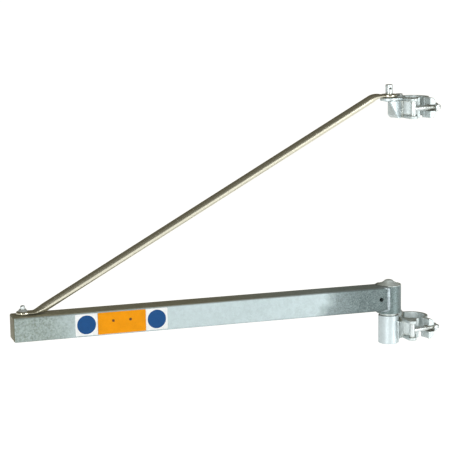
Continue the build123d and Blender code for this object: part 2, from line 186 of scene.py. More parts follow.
# Fillet round the pivot pin's dome, as radius and height above the hub's brim, in metres
DOME_FILLET = (
    (0.0158, 0.0008),
    (0.0166, 0.0016),
    (0.0145, 0.0026),
    (0.0122, 0.0038),
    (0.0103, 0.0048),
    (0.0091, 0.0056),
    (0.0083, 0.0062),
    (0.0072, 0.0058),
)

# Studio, with lengths in metres, and lamps as name, place, size and watts
FAR_CLIP = 500
FLOOR_RADIUS = 150
FLOOR_COLOR = (0.8, 0.8, 0.8, 1)
FLOOR_GLOW = (0.95, 0.95, 0.95, 1)
FLOOR_ROUGHNESS = 0.9
CEILING_COLOR = (0.118, 0.107, 0.072, 1)
WALL_COLOR = (0.30, 0.29, 0.26, 1)
ROOM_FRONT = (-0.25, -0.95)
LAMP_AIM = (-0.32, 0, 0.18)
LAMPS = (
    ("left_lamp", (-2.3, -2.8, 0.7), 1.2, 56),
    ("right_lamp", (2.2, -2.9, 0.6), 1.9, 72),
)


def color_setting(name, description, default):
    """Colour property of a finish."""
    return FloatVectorProperty(
        name=name, description=description, default=default, subtype="COLOR", min=0.0, max=1.0
    )


def length_setting(name, description, default):
    """Length property, in metres."""
    return FloatProperty(name=name, description=description, default=default, unit="LENGTH")


def angle_setting(name, description, degrees):
    """Angle property."""
    return FloatProperty(
        name=name, description=description, default=math.radians(degrees), subtype="ANGLE"
    )


class JibFinishSettings(PropertyGroup):
    """Colours of the finishes and of painted shade, as linear values."""

    beam: color_setting("Beam", "Galvanised square tube", (0.455, 0.55, 0.57))
    dull: color_setting("Dull zinc", "Zinc dulled by heat near the hub", (0.075, 0.11, 0.11))
    tip: color_setting("Tip", "Zinc dulled toward the tip", (0.19, 0.235, 0.195))
    # Painted shade: the end face's colour is darkened to stand in for the shade on that side
    cut: color_setting("End face", "Browned zinc on the end face", (0.118, 0.110, 0.040))
    # Painted shade: the upper face's colour is darkened and browned to stand in for the dark
    # ceiling it reflects
    upper_face_shade: color_setting("Upper face", "Browned zinc on the beam's upper face", (0.43, 0.40, 0.27))
    rod: color_setting("Rod", "Galvanised round bar", (0.62, 0.605, 0.495))
    forging: color_setting("Forging", "Zinc on the couplers", (0.66, 0.74, 0.75))
    plate: color_setting("Plate", "Pale zinc on the bracket", (0.62, 0.71, 0.74))
    fastener: color_setting("Fastener", "Bright zinc on bolts and nuts", (0.66, 0.72, 0.73))
    pin: color_setting("Pin", "Zinc plated round bar", (0.64, 0.71, 0.72))
    crown: color_setting("Crown", "Thick pale zinc on top of the hub", (0.84, 0.95, 0.95))
    weld: color_setting("Weld", "Galvanised weld bead on the jib", (0.37, 0.44, 0.47))
    orange: color_setting("Orange", "Enamel of the rating plate", (0.89, 0.33, 0.002))
    white: color_setting("White", "Vinyl of the stickers", (0.90, 0.93, 0.94))
    blue: color_setting("Blue", "Disc on the stickers", (0.013, 0.08, 0.25))
    rivet: color_setting("Rivet", "Browned heads of the plate's rivets", (0.13, 0.055, 0.015))


class JibDetailSettings(PropertyGroup):
    """Sizes of the pieces that are added to the solids."""

    voxel: length_setting("Voxel", "Grid on which the forgings are rounded", 0.0006)
    rounding: IntProperty(
        name="Rounding",
        description="Passes that round the edges of the forgings",
        default=7,
    )
    thread_pitch: length_setting(
        "Thread pitch", "Advance of the T-bolts' thread in one turn", 0.00125
    )
    thread_depth: length_setting("Thread depth", "Depth of the T-bolts' thread", 0.0007)
    sticker: length_setting("Sticker", "Length of a sticker along the beam", 0.036)
    disc: length_setting("Disc", "Radius of the disc on a sticker", 0.0152)
    ripple: length_setting("Ripple", "Pitch of the ripples on a weld bead", 0.0022)


class JibStageSettings(PropertyGroup):
    """Camera and floor of the studio."""

    azimuth: angle_setting("Azimuth", "Turn of the camera about the upright axis", -17.5)
    elevation: angle_setting("Elevation", "Height angle of the camera above the level", 9.3)
    roll: angle_setting("Roll", "Turn of the camera about its own line of sight", -0.89)
    place: FloatVectorProperty(
        name="Camera place",
        description="Where the camera stands",
        default=(-1.0558, -2.3032, 0.5878),
        subtype="TRANSLATION",
        unit="LENGTH",
    )
    focal_pixels: FloatProperty(
        name="Focal length",
        description="Focal length in pixels of the square photograph",
        default=1500.0,
    )
    floor_drop: length_setting("Floor drop", "How far the floor lies below the part", 0.45)


def link(obj):
    """Put a new object in the scene."""
    bpy.context.scene.collection.objects.link(obj)
    return obj


def finish_mesh(mesh, material, sharp=SHARP_DEGREES):
    """Smooth a mesh but for its sharp edges, and give it a material."""
    mesh.validate()
    mesh.update()
    mesh.shade_smooth()
    mesh.set_sharp_from_angle(angle=math.radians(sharp))
    mesh.materials.clear()
    mesh.materials.append(material)


def add_piece(name, verts, faces, material, body, slot):
    """New mesh piece that rides on a body."""
    mesh = bpy.data.meshes.new(name)
    mesh.from_pydata(verts, [], faces)
    finish_mesh(mesh, material)
    piece = link(bpy.data.objects.new(name, mesh))
    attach(piece, body)
    return piece


def dress(nodes, material):
    """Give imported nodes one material."""
    for node in nodes:
        mesh = NODES[node].data
        mesh.materials.clear()
        mesh.materials.append(material)


def middle(node):
    """Middle of a node's box."""
    low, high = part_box(node)
    return (low + high) / 2


def half_width(node):
    """Half of a node's size along X."""
    low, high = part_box(node)
    return (high.x - low.x) / 2


# Shader helpers


def shade(tree, kind, inputs=None, **options):
    """Add a shader node, with options and with values or sockets for its inputs."""
    item = tree.nodes.new(kind)
    for name, value in options.items():
        setattr(item, name, value)
    for key, value in (inputs or {}).items():
        if isinstance(value, bpy.types.NodeSocket):
            tree.links.new(value, item.inputs[key])
        else:
            item.inputs[key].default_value = value
    return item


def new_material(name):
    """Material with its tree, its surface shader and object coordinates in metres."""
    material = bpy.data.materials.new(name)
    material.use_nodes = True
    tree = material.node_tree
    coords = shade(tree, "ShaderNodeTexCoord").outputs["Object"]
    return material, tree, tree.nodes["Principled BSDF"], coords


def split(tree, vector):
    """X, Y and Z of a vector."""
    return shade(tree, "ShaderNodeSeparateXYZ", {"Vector": vector}).outputs


def noise(tree, coords, scale, detail=3.0):
    """Soft noise from 0 to 1, with a scale in cells per metre."""
    inputs = {"Vector": coords, "Scale": scale, "Detail": detail}
    return shade(tree, "ShaderNodeTexNoise", inputs).outputs["Fac"]


def crystals(tree, coords, scale):
    """One random grey per cell, as on spangled zinc."""
    cells = shade(tree, "ShaderNodeTexVoronoi", {"Vector": coords, "Scale": scale})
    parts = shade(tree, "ShaderNodeSeparateColor", {"Color": cells.outputs["Color"]})
    return parts.outputs["Red"]


def spread(tree, value, low, high, new_low=0.0, new_high=1.0):
    """Map one range on another, clamped."""
    inputs = {
        "Value": value,
        "From Min": low,
        "From Max": high,
        "To Min": new_low,
        "To Max": new_high,
    }
    return shade(tree, "ShaderNodeMapRange", inputs).outputs["Result"]


def sum_of(tree, operation, first, second):
    """Result of one sum on two values or sockets."""
    item = shade(tree, "ShaderNodeMath", {0: first, 1: second}, operation=operation)
    return item.outputs["Value"]


def product(tree, first, second):
    """One value times another."""
    return sum_of(tree, "MULTIPLY", first, second)


def weighted(tree, *pairs):
    """Sum of values, each times its weight."""
    total = 0.0
    for value, weight in pairs:
        inputs = {0: value, 1: weight, 2: total}
        item = shade(tree, "ShaderNodeMath", inputs, operation="MULTIPLY_ADD")
        total = item.outputs["Value"]
    return total


def blend(tree, factor, first, second):
    """Mix two colours."""
    inputs = {0: factor, 6: first, 7: second}
    return shade(tree, "ShaderNodeMix", inputs, data_type="RGBA").outputs[2]


def scaled(color, factor):
    """Colour with full alpha, made lighter or darker."""
    return (*(min(1.0, part * factor) for part in color), 1.0)


def tinted(tree, value, color, low, high):
    """Colour that runs from a darker to a lighter tone with a value."""
    return blend(tree, value, scaled(color, low), scaled(color, high))


def crevices(tree, depth):
    """How far a spot lies in a corner, from 0 in the open to 1."""
    sky = shade(tree, "ShaderNodeAmbientOcclusion", {"Distance": depth}, samples=SKY_SAMPLES)
    return spread(tree, sky.outputs["AO"], *SHUT_TO_OPEN, 1.0, 0.0)


def set_surface(tree, shader, color, roughness, height, depth):
    """Give a shader its colour and roughness, and bump it by a height."""
    bump = shade(tree, "ShaderNodeBump", {"Height": height, "Distance": depth})
    tree.links.new(color, shader.inputs["Base Color"])
    tree.links.new(roughness, shader.inputs["Roughness"])
    tree.links.new(bump.outputs["Normal"], shader.inputs["Normal"])


def galvanised(name, colors, roughness, spangle, dulling):
    """Hot-dip zinc with crystals and clouds, dull at hub and tip, with brown painted shade on its
    top and end, and painted shade in its corners.
    """
    material, tree, shader, coords = new_material(name)
    flakes = crystals(tree, coords, scale=spangle)
    grains = crystals(tree, coords, scale=3.1 * spangle)
    clouds = noise(tree, coords, scale=14.0)
    patches = noise(tree, coords, scale=45.0, detail=4.0)
    blots = noise(tree, coords, scale=480.0, detail=5.0)
    spots = noise(tree, coords, scale=390.0, detail=6.0)
    pits = noise(tree, coords, scale=700.0)
    place = split(tree, coords)
    along = place["X"]
    facing = split(tree, shade(tree, "ShaderNodeTexCoord").outputs["Normal"])
    tone = weighted(tree, (flakes, 0.3), (grains, 0.3), (clouds, 0.5))
    tone = spread(tree, tone, 0.2, 0.9)
    surface = tinted(tree, tone, colors.beam, 0.90, 1.08)

    # Dull zones at both ends, fainter on the upper face
    slanted = weighted(tree, (along, 1.0), (place["Z"], -0.6), (patches, 0.05))
    heated = spread(tree, slanted, *HEATED)
    hub_end = weighted(tree, (heated, 0.72), (spread(tree, along, *SCORCHED), 0.28))
    ragged = weighted(tree, (along, 1.0), (patches, 0.06))
    tip_end = spread(tree, ragged, *TIP_DULLED, 0.0, 0.95)
    grainy = spread(tree, blots, 0.32, 0.65, 1.0, 0.74)
    mottled = spread(tree, spots, 0.30, 0.68, 1.0, 0.40)
    below = spread(tree, facing["Z"], *TURNED_UP, 1.0, 0.3)
    zones = ((hub_end, grainy, colors.dull), (tip_end, mottled, colors.tip))
    for share, pattern, color in zones:
        share = product(tree, product(tree, share, pattern), below)
        dulled = tinted(tree, tone, color, 0.75 * dulling, 1.3 * dulling)
        surface = blend(tree, share, surface, dulled)

    # Painted shade on the upper face and on the end face, and painted shade in the corners
    # Painted reflection of a dark ceiling on faces turned up, fading out toward the hub
    top = spread(tree, facing["Z"], *TURNED_UP, 0.0, 0.85)
    top = product(tree, top, spread(tree, along, *UPPER_SHADE_SPAN, 1.0, 0.0))
    surface = blend(tree, top, surface, tinted(tree, tone, colors.upper_face_shade, 0.9, 1.1))
    # Painted shade on faces turned to the tip, near the tip end
    end = spread(tree, facing["X"], *TURNED_TO_TIP, 1.0, 0.0)
    end = product(tree, end, spread(tree, along, *END_SHADE_SPAN, 1.0, 0.0))
    surface = blend(tree, end, surface, tinted(tree, blots, colors.cut, 0.8, 1.25))
    # Painted shade in the corners: shut-in spots are darkened toward half the dull zinc colour
    corner = product(tree, crevices(tree, 0.004), 0.5)
    surface = blend(tree, corner, surface, scaled(colors.dull, 0.5))

    shader.inputs["Metallic"].default_value = 0.5
    gloss = spread(tree, tone, 0.0, 1.0, roughness + 0.07, roughness - 0.07)
    grit = weighted(tree, (flakes, 0.6), (blots, 1.0), (pits, 1.0))
    set_surface(tree, shader, surface, gloss, grit, 0.00008)
    return material


def zinc(name, color, roughness, grain, depth, metallic=0.6, deep=0.86):
    """Plated or dipped zinc, with a fine grain, soft clouds, dirt and painted shade in the
    corners, and painted shade under overhangs.
    """
    material, tree, shader, coords = new_material(name)
    clouds = noise(tree, coords, scale=55.0, detail=4.0)
    specks = noise(tree, coords, scale=320.0)
    tone = spread(tree, weighted(tree, (clouds, 0.65), (specks, 0.35)), 0.3, 0.7)
    surface = tinted(tree, tone, color, deep, 1.07)
    # Tan grime and painted shade in the corners, darker where spots are shut in
    corner_grime_and_shade = (color[0] * 0.50, color[1] * 0.42, color[2] * 0.27, 1.0)
    corner = product(tree, crevices(tree, 0.006), spread(tree, specks, 0.3, 0.7, 0.3, 0.8))
    # Painted shade under overhangs: spots shut in at a wider reach are darkened toward a third of
    # the colour
    overhang_shade = product(tree, crevices(tree, 0.03), 0.2)
    surface = blend(tree, overhang_shade, surface, scaled(color, 0.35))
    surface = blend(tree, corner, surface, corner_grime_and_shade)
    shader.inputs["Metallic"].default_value = metallic
    gloss = spread(tree, tone, 0.0, 1.0, roughness + 0.08, roughness - 0.05)
    dimples = noise(tree, coords, scale=grain, detail=4.0)
    set_surface(tree, shader, surface, gloss, dimples, depth)
    return material


def drawn_bar(name, color, roughness):
    """Galvanised round bar with faint lengthwise streaks and brown specks."""
    material, tree, shader, coords = new_material(name)
    low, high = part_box("tie_rod")
    slope = math.atan2(high.z - low.z, high.x - low.x)
    stretch = {"Vector": coords, "Rotation": (0.0, slope, 0.0), "Scale": (0.06, 1.0, 1.0)}
    lengthwise = shade(tree, "ShaderNodeMapping", stretch).outputs["Vector"]
    streaks = noise(tree, lengthwise, scale=900.0)
    specks = noise(tree, coords, scale=240.0, detail=4.0)
    tone = spread(tree, weighted(tree, (streaks, 0.5), (specks, 0.5)), 0.3, 0.7)
    surface = tinted(tree, tone, color, 0.82, 1.1)
    brown = spread(tree, specks, 0.62, 0.75, 0.0, 0.5)
    surface = blend(tree, brown, surface, (0.20, 0.15, 0.08, 1.0))
    shader.inputs["Metallic"].default_value = 0.86
    gloss = spread(tree, tone, 0.0, 1.0, roughness + 0.06, roughness - 0.05)
    set_surface(tree, shader, surface, gloss, streaks, 0.00004)
    return material


def coated(name, color, roughness, peel, wear):
    """Enamel or vinyl, with an uneven skin, slight fading and scuffs."""
    material, tree, shader, coords = new_material(name)
    clouds = noise(tree, coords, scale=70.0, detail=4.0)
    scuffs = noise(tree, coords, scale=420.0, detail=5.0)
    surface = tinted(tree, spread(tree, clouds, 0.3, 0.7), color, 0.93, 1.05)
    rubbed = spread(tree, scuffs, 0.60, 0.72, 0.0, wear)
    surface = blend(tree, rubbed, surface, scaled(color, 0.6))
    shader.inputs["Specular IOR Level"].default_value = 0.15
    gloss = spread(tree, scuffs, 0.3, 0.7, roughness - 0.06, roughness + 0.12)
    skin = noise(tree, coords, scale=900.0, detail=2.0)
    set_surface(tree, shader, surface, gloss, skin, peel)
    return material


# Mesh helpers


def round_point(radius, turn, height=0.0):
    """Point at a turn about Z."""
    return Vector((radius * math.cos(turn), radius * math.sin(turn), height))


def turns_of(count):
    """Even turns all the way round."""
    return [FULL_TURN * step / count for step in range(count)]


def swell(run, waves):
    """Factor near 1 that rises and falls along a run."""
    return 1 + sum(share * math.sin(run * rate + start) for share, rate, start in waves)


def along_path(points, step, closed):
    """Points at even steps along a line of points, each with the distance run, and the total."""
    line = points + points[:1] if closed else points
    runs = [0.0]
    for first, second in zip(line, line[1:]):
        runs.append(runs[-1] + (second - first).length)
    total = runs[-1]
    count = max(2, round(total / step))
    spots = []
    leg = 0
    for index in range(count if closed else count + 1):
        run = total * index / count
        while leg < len(line) - 2 and run > runs[leg + 1]:
            leg += 1
        part = (run - runs[leg]) / max(SHORTEST_LEG, runs[leg + 1] - runs[leg])
        spots.append((line[leg].lerp(line[leg + 1], min(1.0, part)), run))
    return spots, total


def tube_faces(rings, sides, closed):
    """Faces of a skin on rings of points, capped where it isn't closed on itself."""
    faces = []
    for ring in range(rings if closed else rings - 1):
        here, there = ring * sides, (ring + 1) % rings * sides
        for side in range(sides):
            after = (side + 1) % sides
            faces.append((here + side, here + after, there + after, there + side))
    if not closed:
        faces.append(tuple(range(sides - 1, -1, -1)))
        faces.append(tuple(range((rings - 1) * sides, rings * sides)))
    return faces


def weld_bead(name, points, radius, heart, closed, material, body, slot, width=1.0):
    """Rippled bead along a line, with its sides set out from a point called heart."""
    ripple = bpy.context.scene.jib_detail.ripple
    spots, total = along_path(points, ripple / STEPS_IN_RIPPLE, closed)
    verts = []
    for index, (spot, run) in enumerate(spots):
        last = index + 1 == len(spots)
        before = spots[index - 1][0] if index or closed else spot
        after = spots[(index + 1) % len(spots)][0] if closed or not last else spot
        ahead = (after - before).normalized()
        out = spot - heart
        out = (out - ahead * out.dot(ahead)).normalized()
        across = ahead.cross(out) * width
        size = radius * swell(run, BEAD_SWELLS)
        if not closed:
            edge = min(1.0, min(run, total - run) / radius)
            size *= math.sqrt(max(BEAD_END, 1 - (1 - edge) ** 2))
        for turn in turns_of(BEAD_SIDES):
            wave = FULL_TURN * (run / ripple + RIPPLE_BOW * math.cos(turn))
            crest = size * swell(wave, BEAD_RIPPLES)
            verts.append(spot + crest * (math.cos(turn) * out + math.sin(turn) * across))
    faces = tube_faces(len(spots), BEAD_SIDES, closed)
    return add_piece(name, verts, faces, material, body, slot)


def ring_points(center, radius, steps=72):
    """Points of a level circle."""
    return [center + round_point(radius, turn) for turn in turns_of(steps)]


def rounded_outline(half_x, half_y, corner, steps=6):
    """Corners of a rounded rectangle about the origin, counted against the clock."""
    outline = []
    for quarter, (side_x, side_y) in enumerate(((1, 1), (-1, 1), (-1, -1), (1, -1))):
        for step in range(steps + 1):
            turn = math.pi / 2 * (quarter + step / steps)
            x = side_x * (half_x - corner) + corner * math.cos(turn)
            y = side_y * (half_y - corner) + corner * math.sin(turn)
            outline.append((x, y))
    return outline


def slab(outline, thickness, lip):
    """Thin slab on the plane z = 0, with its upper rim eased by a lip."""
    flat = [Vector((x, y, 0)) for x, y in outline]
    verts = list(flat)
    verts += [Vector((x, y, thickness - lip)) for x, y in outline]
    verts += [Vector((*spot.xy, thickness)) - spot.normalized() * lip for spot in flat]
    return verts, tube_faces(3, len(outline), False)


def pillow(half, corner, thickness, rim, steps=6):
    """Square plate on the plane z = 0, with its upper rim rounded."""
    rings = [(0.0, 0.0)]
    for step in range(steps + 1):
        turn = math.pi / 2 * step / steps
        rings.append((rim * (1 - math.cos(turn)), thickness - rim * (1 - math.sin(turn))))
    verts = []
    for inset, height in rings:
        outline = rounded_outline(half - inset, half - inset, max(corner - inset, LEAST_CORNER))
        verts += [Vector((x, y, height)) for x, y in outline]
    return verts, tube_faces(len(rings), len(outline), False)


def lathe(profile, steps):
    """Closed turned form about Z, from a profile of radius and height."""
    verts = []
    for radius, height in profile:
        verts += [round_point(radius, turn, height) for turn in turns_of(steps)]
    return verts, tube_faces(len(profile), steps, False)


def thread_form(length, start, radius, detail):
    """Threaded shank along Z, from 0 to a length, with the thread beyond a start."""
    pitch, depth = detail.thread_pitch, detail.thread_depth
    count = round((length - start) / (pitch / RINGS_IN_PITCH))
    heights = [start * index / PLAIN_RINGS for index in range(PLAIN_RINGS)]
    heights += [start + (length - start) * index / count for index in range(count + 1)]
    verts = []
    for height in heights:
        ramp = min(1.0, max(0.0, (height - start) / (RUN_OUT_PITCHES * pitch)))
        tip = radius - depth - BOLT_TIP_INSET + BOLT_TIP_SLOPE * (length - height)
        for turn in turns_of(THREAD_SIDES):
            phase = (height / pitch - turn / FULL_TURN) % 1.0
            groove = max(0.0, 1.0 - abs(phase - 0.5) * GROOVE_SLOPE)
            size = min(radius, tip, radius - groove * depth * ramp)
            verts.append(round_point(size, turn, height))
    return verts, tube_faces(len(heights), THREAD_SIDES, False)


def moved(form, matrix):
    """Form put in its place by a matrix."""
    verts, faces = form
    return [matrix @ vert for vert in verts], faces


def joined(first, second):
    """Two forms as one."""
    shift = len(first[0])
    faces = [tuple(index + shift for index in face) for face in second[1]]
    return first[0] + second[0], first[1] + faces


def forge(node, material, body, coarse=1.0, passes=1):
    """Copy of a node with its edges rounded as on a forging, in place of the node."""
    detail = bpy.context.scene.jib_detail
    rough = link(bpy.data.objects.new("rough", NODES[node].data.copy()))
    grid = rough.modifiers.new("grid", "REMESH")
    grid.mode = "VOXEL"
    grid.voxel_size = detail.voxel * coarse
    soft = rough.modifiers.new("soft", "SMOOTH")
    soft.factor = ROUNDING_FACTOR
    soft.iterations = detail.rounding * passes
    lean = rough.modifiers.new("lean", "DECIMATE")
    lean.ratio = KEPT_FACES
    graph = bpy.context.evaluated_depsgraph_get()
    mesh = bpy.data.meshes.new_from_object(rough.evaluated_get(graph))
    bpy.data.objects.remove(rough)
    if len(mesh.polygons) < FEWEST_FACES:
        raise RuntimeError(f"{node} could not be rounded")
    mesh.name = f"{node}_forged"
    finish_mesh(mesh, material, ALL_SMOOTH_DEGREES)
    piece = link(bpy.data.objects.new(mesh.name, mesh))
    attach(piece, body)
    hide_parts(node)
    return piece


# Pieces


class JIB_OT_beam(Operator):
    """Finish the beam, its end cap and the hub in galvanised zinc"""

    bl_idname = "jib.beam"
    bl_label = "Beam and Hub"

    def execute(self, context):
        colors = context.scene.jib_finish
        beam = galvanised("galvanised_beam", colors, roughness=0.46, spangle=160.0, dulling=0.9)
        dress(["jib_beam"], beam)
        low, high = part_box("beam_end_cap")
        center = middle("beam_end_cap")
        turn = Matrix(((0, 0, -1), (-1, 0, 0), (0, 1, 0))).to_4x4()
        place = Matrix.Translation((high.x, center.y, center.z)) @ turn
        plate = pillow((high.y - low.y) / 2, BEAM_CORNER, high.x - low.x, CAP_RIM)
        cap = add_piece("rounded_end_cap", *moved(plate, place), beam, "jib", "galvanised_beam")
        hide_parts("beam_end_cap")
        hub = galvanised("galvanised_hub", colors, roughness=0.34, spangle=160.0, dulling=1.3)
        dress(["hub_tube", "hub_bottom_ring"], hub)
        return {"FINISHED"}


class JIB_OT_tie_rod(Operator):
    """Round the tie rod's flats into the bar, and finish it as galvanised"""

    bl_idname = "jib.tie_rod"
    bl_label = "Tie Rod"

    def execute(self, context):
        bar = drawn_bar("galvanised_rod", context.scene.jib_finish.rod, roughness=0.22)
        forge("tie_rod", bar, "jib", coarse=1.5, passes=2)
        return {"FINISHED"}


class JIB_OT_couplers(Operator):
    """Round the couplers' bodies and flaps as zinc forgings"""

    bl_idname = "jib.couplers"
    bl_label = "Couplers"

    def execute(self, context):
        color = context.scene.jib_finish.forging
        cast = zinc(
            "zinc_forging", color, roughness=0.48, grain=650.0, depth=0.00018, metallic=0.45
        )
        for side in SIDES:
            forge(f"{side}_coupler_body", cast, "bracket")
            forge(f"{side}_coupler_flap", cast, f"{side}_flap")
        return {"FINISHED"}


class JIB_OT_bracket_plates(Operator):
    """Finish the sleeve, the washer, the top plate and the gusset in pale zinc"""

    bl_idname = "jib.bracket_plates"
    bl_label = "Bracket Plates"

    def execute(self, context):
        color = context.scene.jib_finish.plate
        pale = zinc("pale_zinc", color, roughness=0.42, grain=420.0, depth=0.0001)
        dress(["pivot_sleeve", "thrust_washer"], pale)
        for node in ("top_plate", "gusset"):
            forge(node, pale, "bracket")
        return {"FINISHED"}


class JIB_OT_fasteners(Operator):
    """Thread the T-bolts, and finish the nuts, hinge pins and the tip washer in bright zinc"""

    bl_idname = "jib.fasteners"
    bl_label = "Fasteners"

    def t_bolt(self, side, material, detail):
        low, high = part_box(f"{side}_t_bolt")
        pivot = Vector(JOINTS[f"{side}_bolt_swing"]["pos_m"])
        ahead = Vector(JOINTS[f"{side}_nut_run"]["axis"]).normalized()
        length = (high.x - pivot.x - BOLT_RADIUS * abs(ahead.y)) / ahead.x
        half = (high.z - low.z) / 2
        profile = [(size, inset - half) for size, inset in HEAD_RIM]
        profile += [(size, half - inset) for size, inset in reversed(HEAD_RIM)]
        turn = ahead.to_track_quat("Z", "Y").to_matrix().to_4x4()
        shank = moved(thread_form(length, THREAD_START, BOLT_RADIUS, detail), turn)
        form = moved(joined(lathe(profile, HEAD_SIDES), shank), Matrix.Translation(pivot))
        name = f"{side}_threaded_bolt"
        piece = add_piece(name, *form, material, f"{side}_bolt", "zinc_fastener")
        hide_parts(f"{side}_t_bolt")

    def execute(self, context):
        color = context.scene.jib_finish.fastener
        bright = zinc("bright_zinc", color, roughness=0.30, grain=900.0, depth=0.00003)
        dress(["tip_washer"], bright)
        for side in SIDES:
            dress([f"{side}_collar_nut", f"{side}_hinge_pin"], bright)
            self.t_bolt(side, bright, context.scene.jib_detail)
        return {"FINISHED"}


class JIB_OT_pins(Operator):
    """Finish the pivot pin with the cone round its head, the upper pin and the tip pin"""

    bl_idname = "jib.pins"
    bl_label = "Pins"

    def execute(self, context):
        colors = context.scene.jib_finish
        bar = zinc("zinc_pin", colors.pin, roughness=0.33, grain=600.0, depth=0.00005)
        dress(["upper_pin", "tip_pin"], bar)
        pale = zinc(
            "dipped_pin",
            colors.crown,
            roughness=0.38,
            grain=300.0,
            depth=0.0002,
            metallic=0.22,
            deep=0.6,
        )
        dress(["pivot_pin", "hub_top_ring"], pale)
        return {"FINISHED"}


class JIB_OT_rating_plate(Operator):
    """Enamel the bare rating plate and brown its rivets"""

    bl_idname = "jib.rating_plate"
    bl_label = "Rating Plate"

    def execute(self, context):
        colors = context.scene.jib_finish
        enamel = coated("orange_enamel", colors.orange, roughness=0.38, peel=0.00004, wear=0.25)
        dress(["rating_plate"], enamel)
        brown = zinc("browned_rivet", colors.rivet, roughness=0.45, grain=900.0, depth=0.00004)
        dress(["plate_rivets"], brown)
        return {"FINISHED"}


class JIB_OT_stickers(Operator):
    """Put a plain white sticker with a blue disc on each side of the rating plate"""

    bl_idname = "jib.stickers"
    bl_label = "Stickers"

    def execute(self, context):
        colors = context.scene.jib_finish
        detail = context.scene.jib_detail
        white = coated("white_vinyl", colors.white, roughness=0.42, peel=0.00002, wear=0.12)
        blue = coated("blue_print", colors.blue, roughness=0.36, peel=0.00002, wear=0.2)
        low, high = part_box("rating_plate")
        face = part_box("jib_beam")[0].y
        upright = Matrix(((1, 0, 0), (0, 0, -1), (0, 1, 0))).to_4x4()
        half = detail.sticker / 2
        square = rounded_outline(half, (high.z - low.z) / 2, STICKER_CORNER)
        disc = [round_point(detail.disc, turn).xy for turn in turns_of(DISC_SIDES)]
        set_off = half + STICKER_GAP
        for name, x in (("tip_side", low.x - set_off), ("hub_side", high.x + set_off)):
            place = Matrix.Translation((x, face, (low.z + high.z) / 2)) @ upright
            for kind, outline, thickness, material in (
                ("sticker", square, STICKER_THICKNESS, white),
                ("disc", disc, DISC_THICKNESS, blue),
            ):
                form = moved(slab(outline, thickness, SHEET_LIP), place)
                add_piece(f"{name}_{kind}", *form, material, "jib", "orange_plate")
        return {"FINISHED"}


def beam_hub_points(hub, steps=8):
    """Line where the beam's skin meets the round of the hub."""
    low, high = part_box("jib_beam")
    radius = half_width("hub_tube")
    half = (high.y - low.y) / 2
    level = (high.z + low.z) / 2
    points = []
    corners = rounded_outline(half, half, BEAM_CORNER)
    for (y, z), (next_y, next_z) in zip(corners, corners[1:] + corners[:1]):
        for part in range(steps):
            side = y + (next_y - y) * part / steps
            rise = z + (next_z - z) * part / steps
            reach = math.sqrt(radius**2 - side**2) + BEAM_BEAD_SET_OUT
            points.append(Vector((hub.x - reach, hub.y + side, level + rise)))
    return points


def wavy(vert):
    """Point of a turned form, moved in or out as on a run of weld."""
    factor = swell(math.atan2(vert.y, vert.x), FILLET_SWELLS)
    return Vector((vert.x * factor, vert.y * factor, vert.z))


def even_parts(count):
    """Even parts from 0 to 1."""
    return [step / count for step in range(count + 1)]


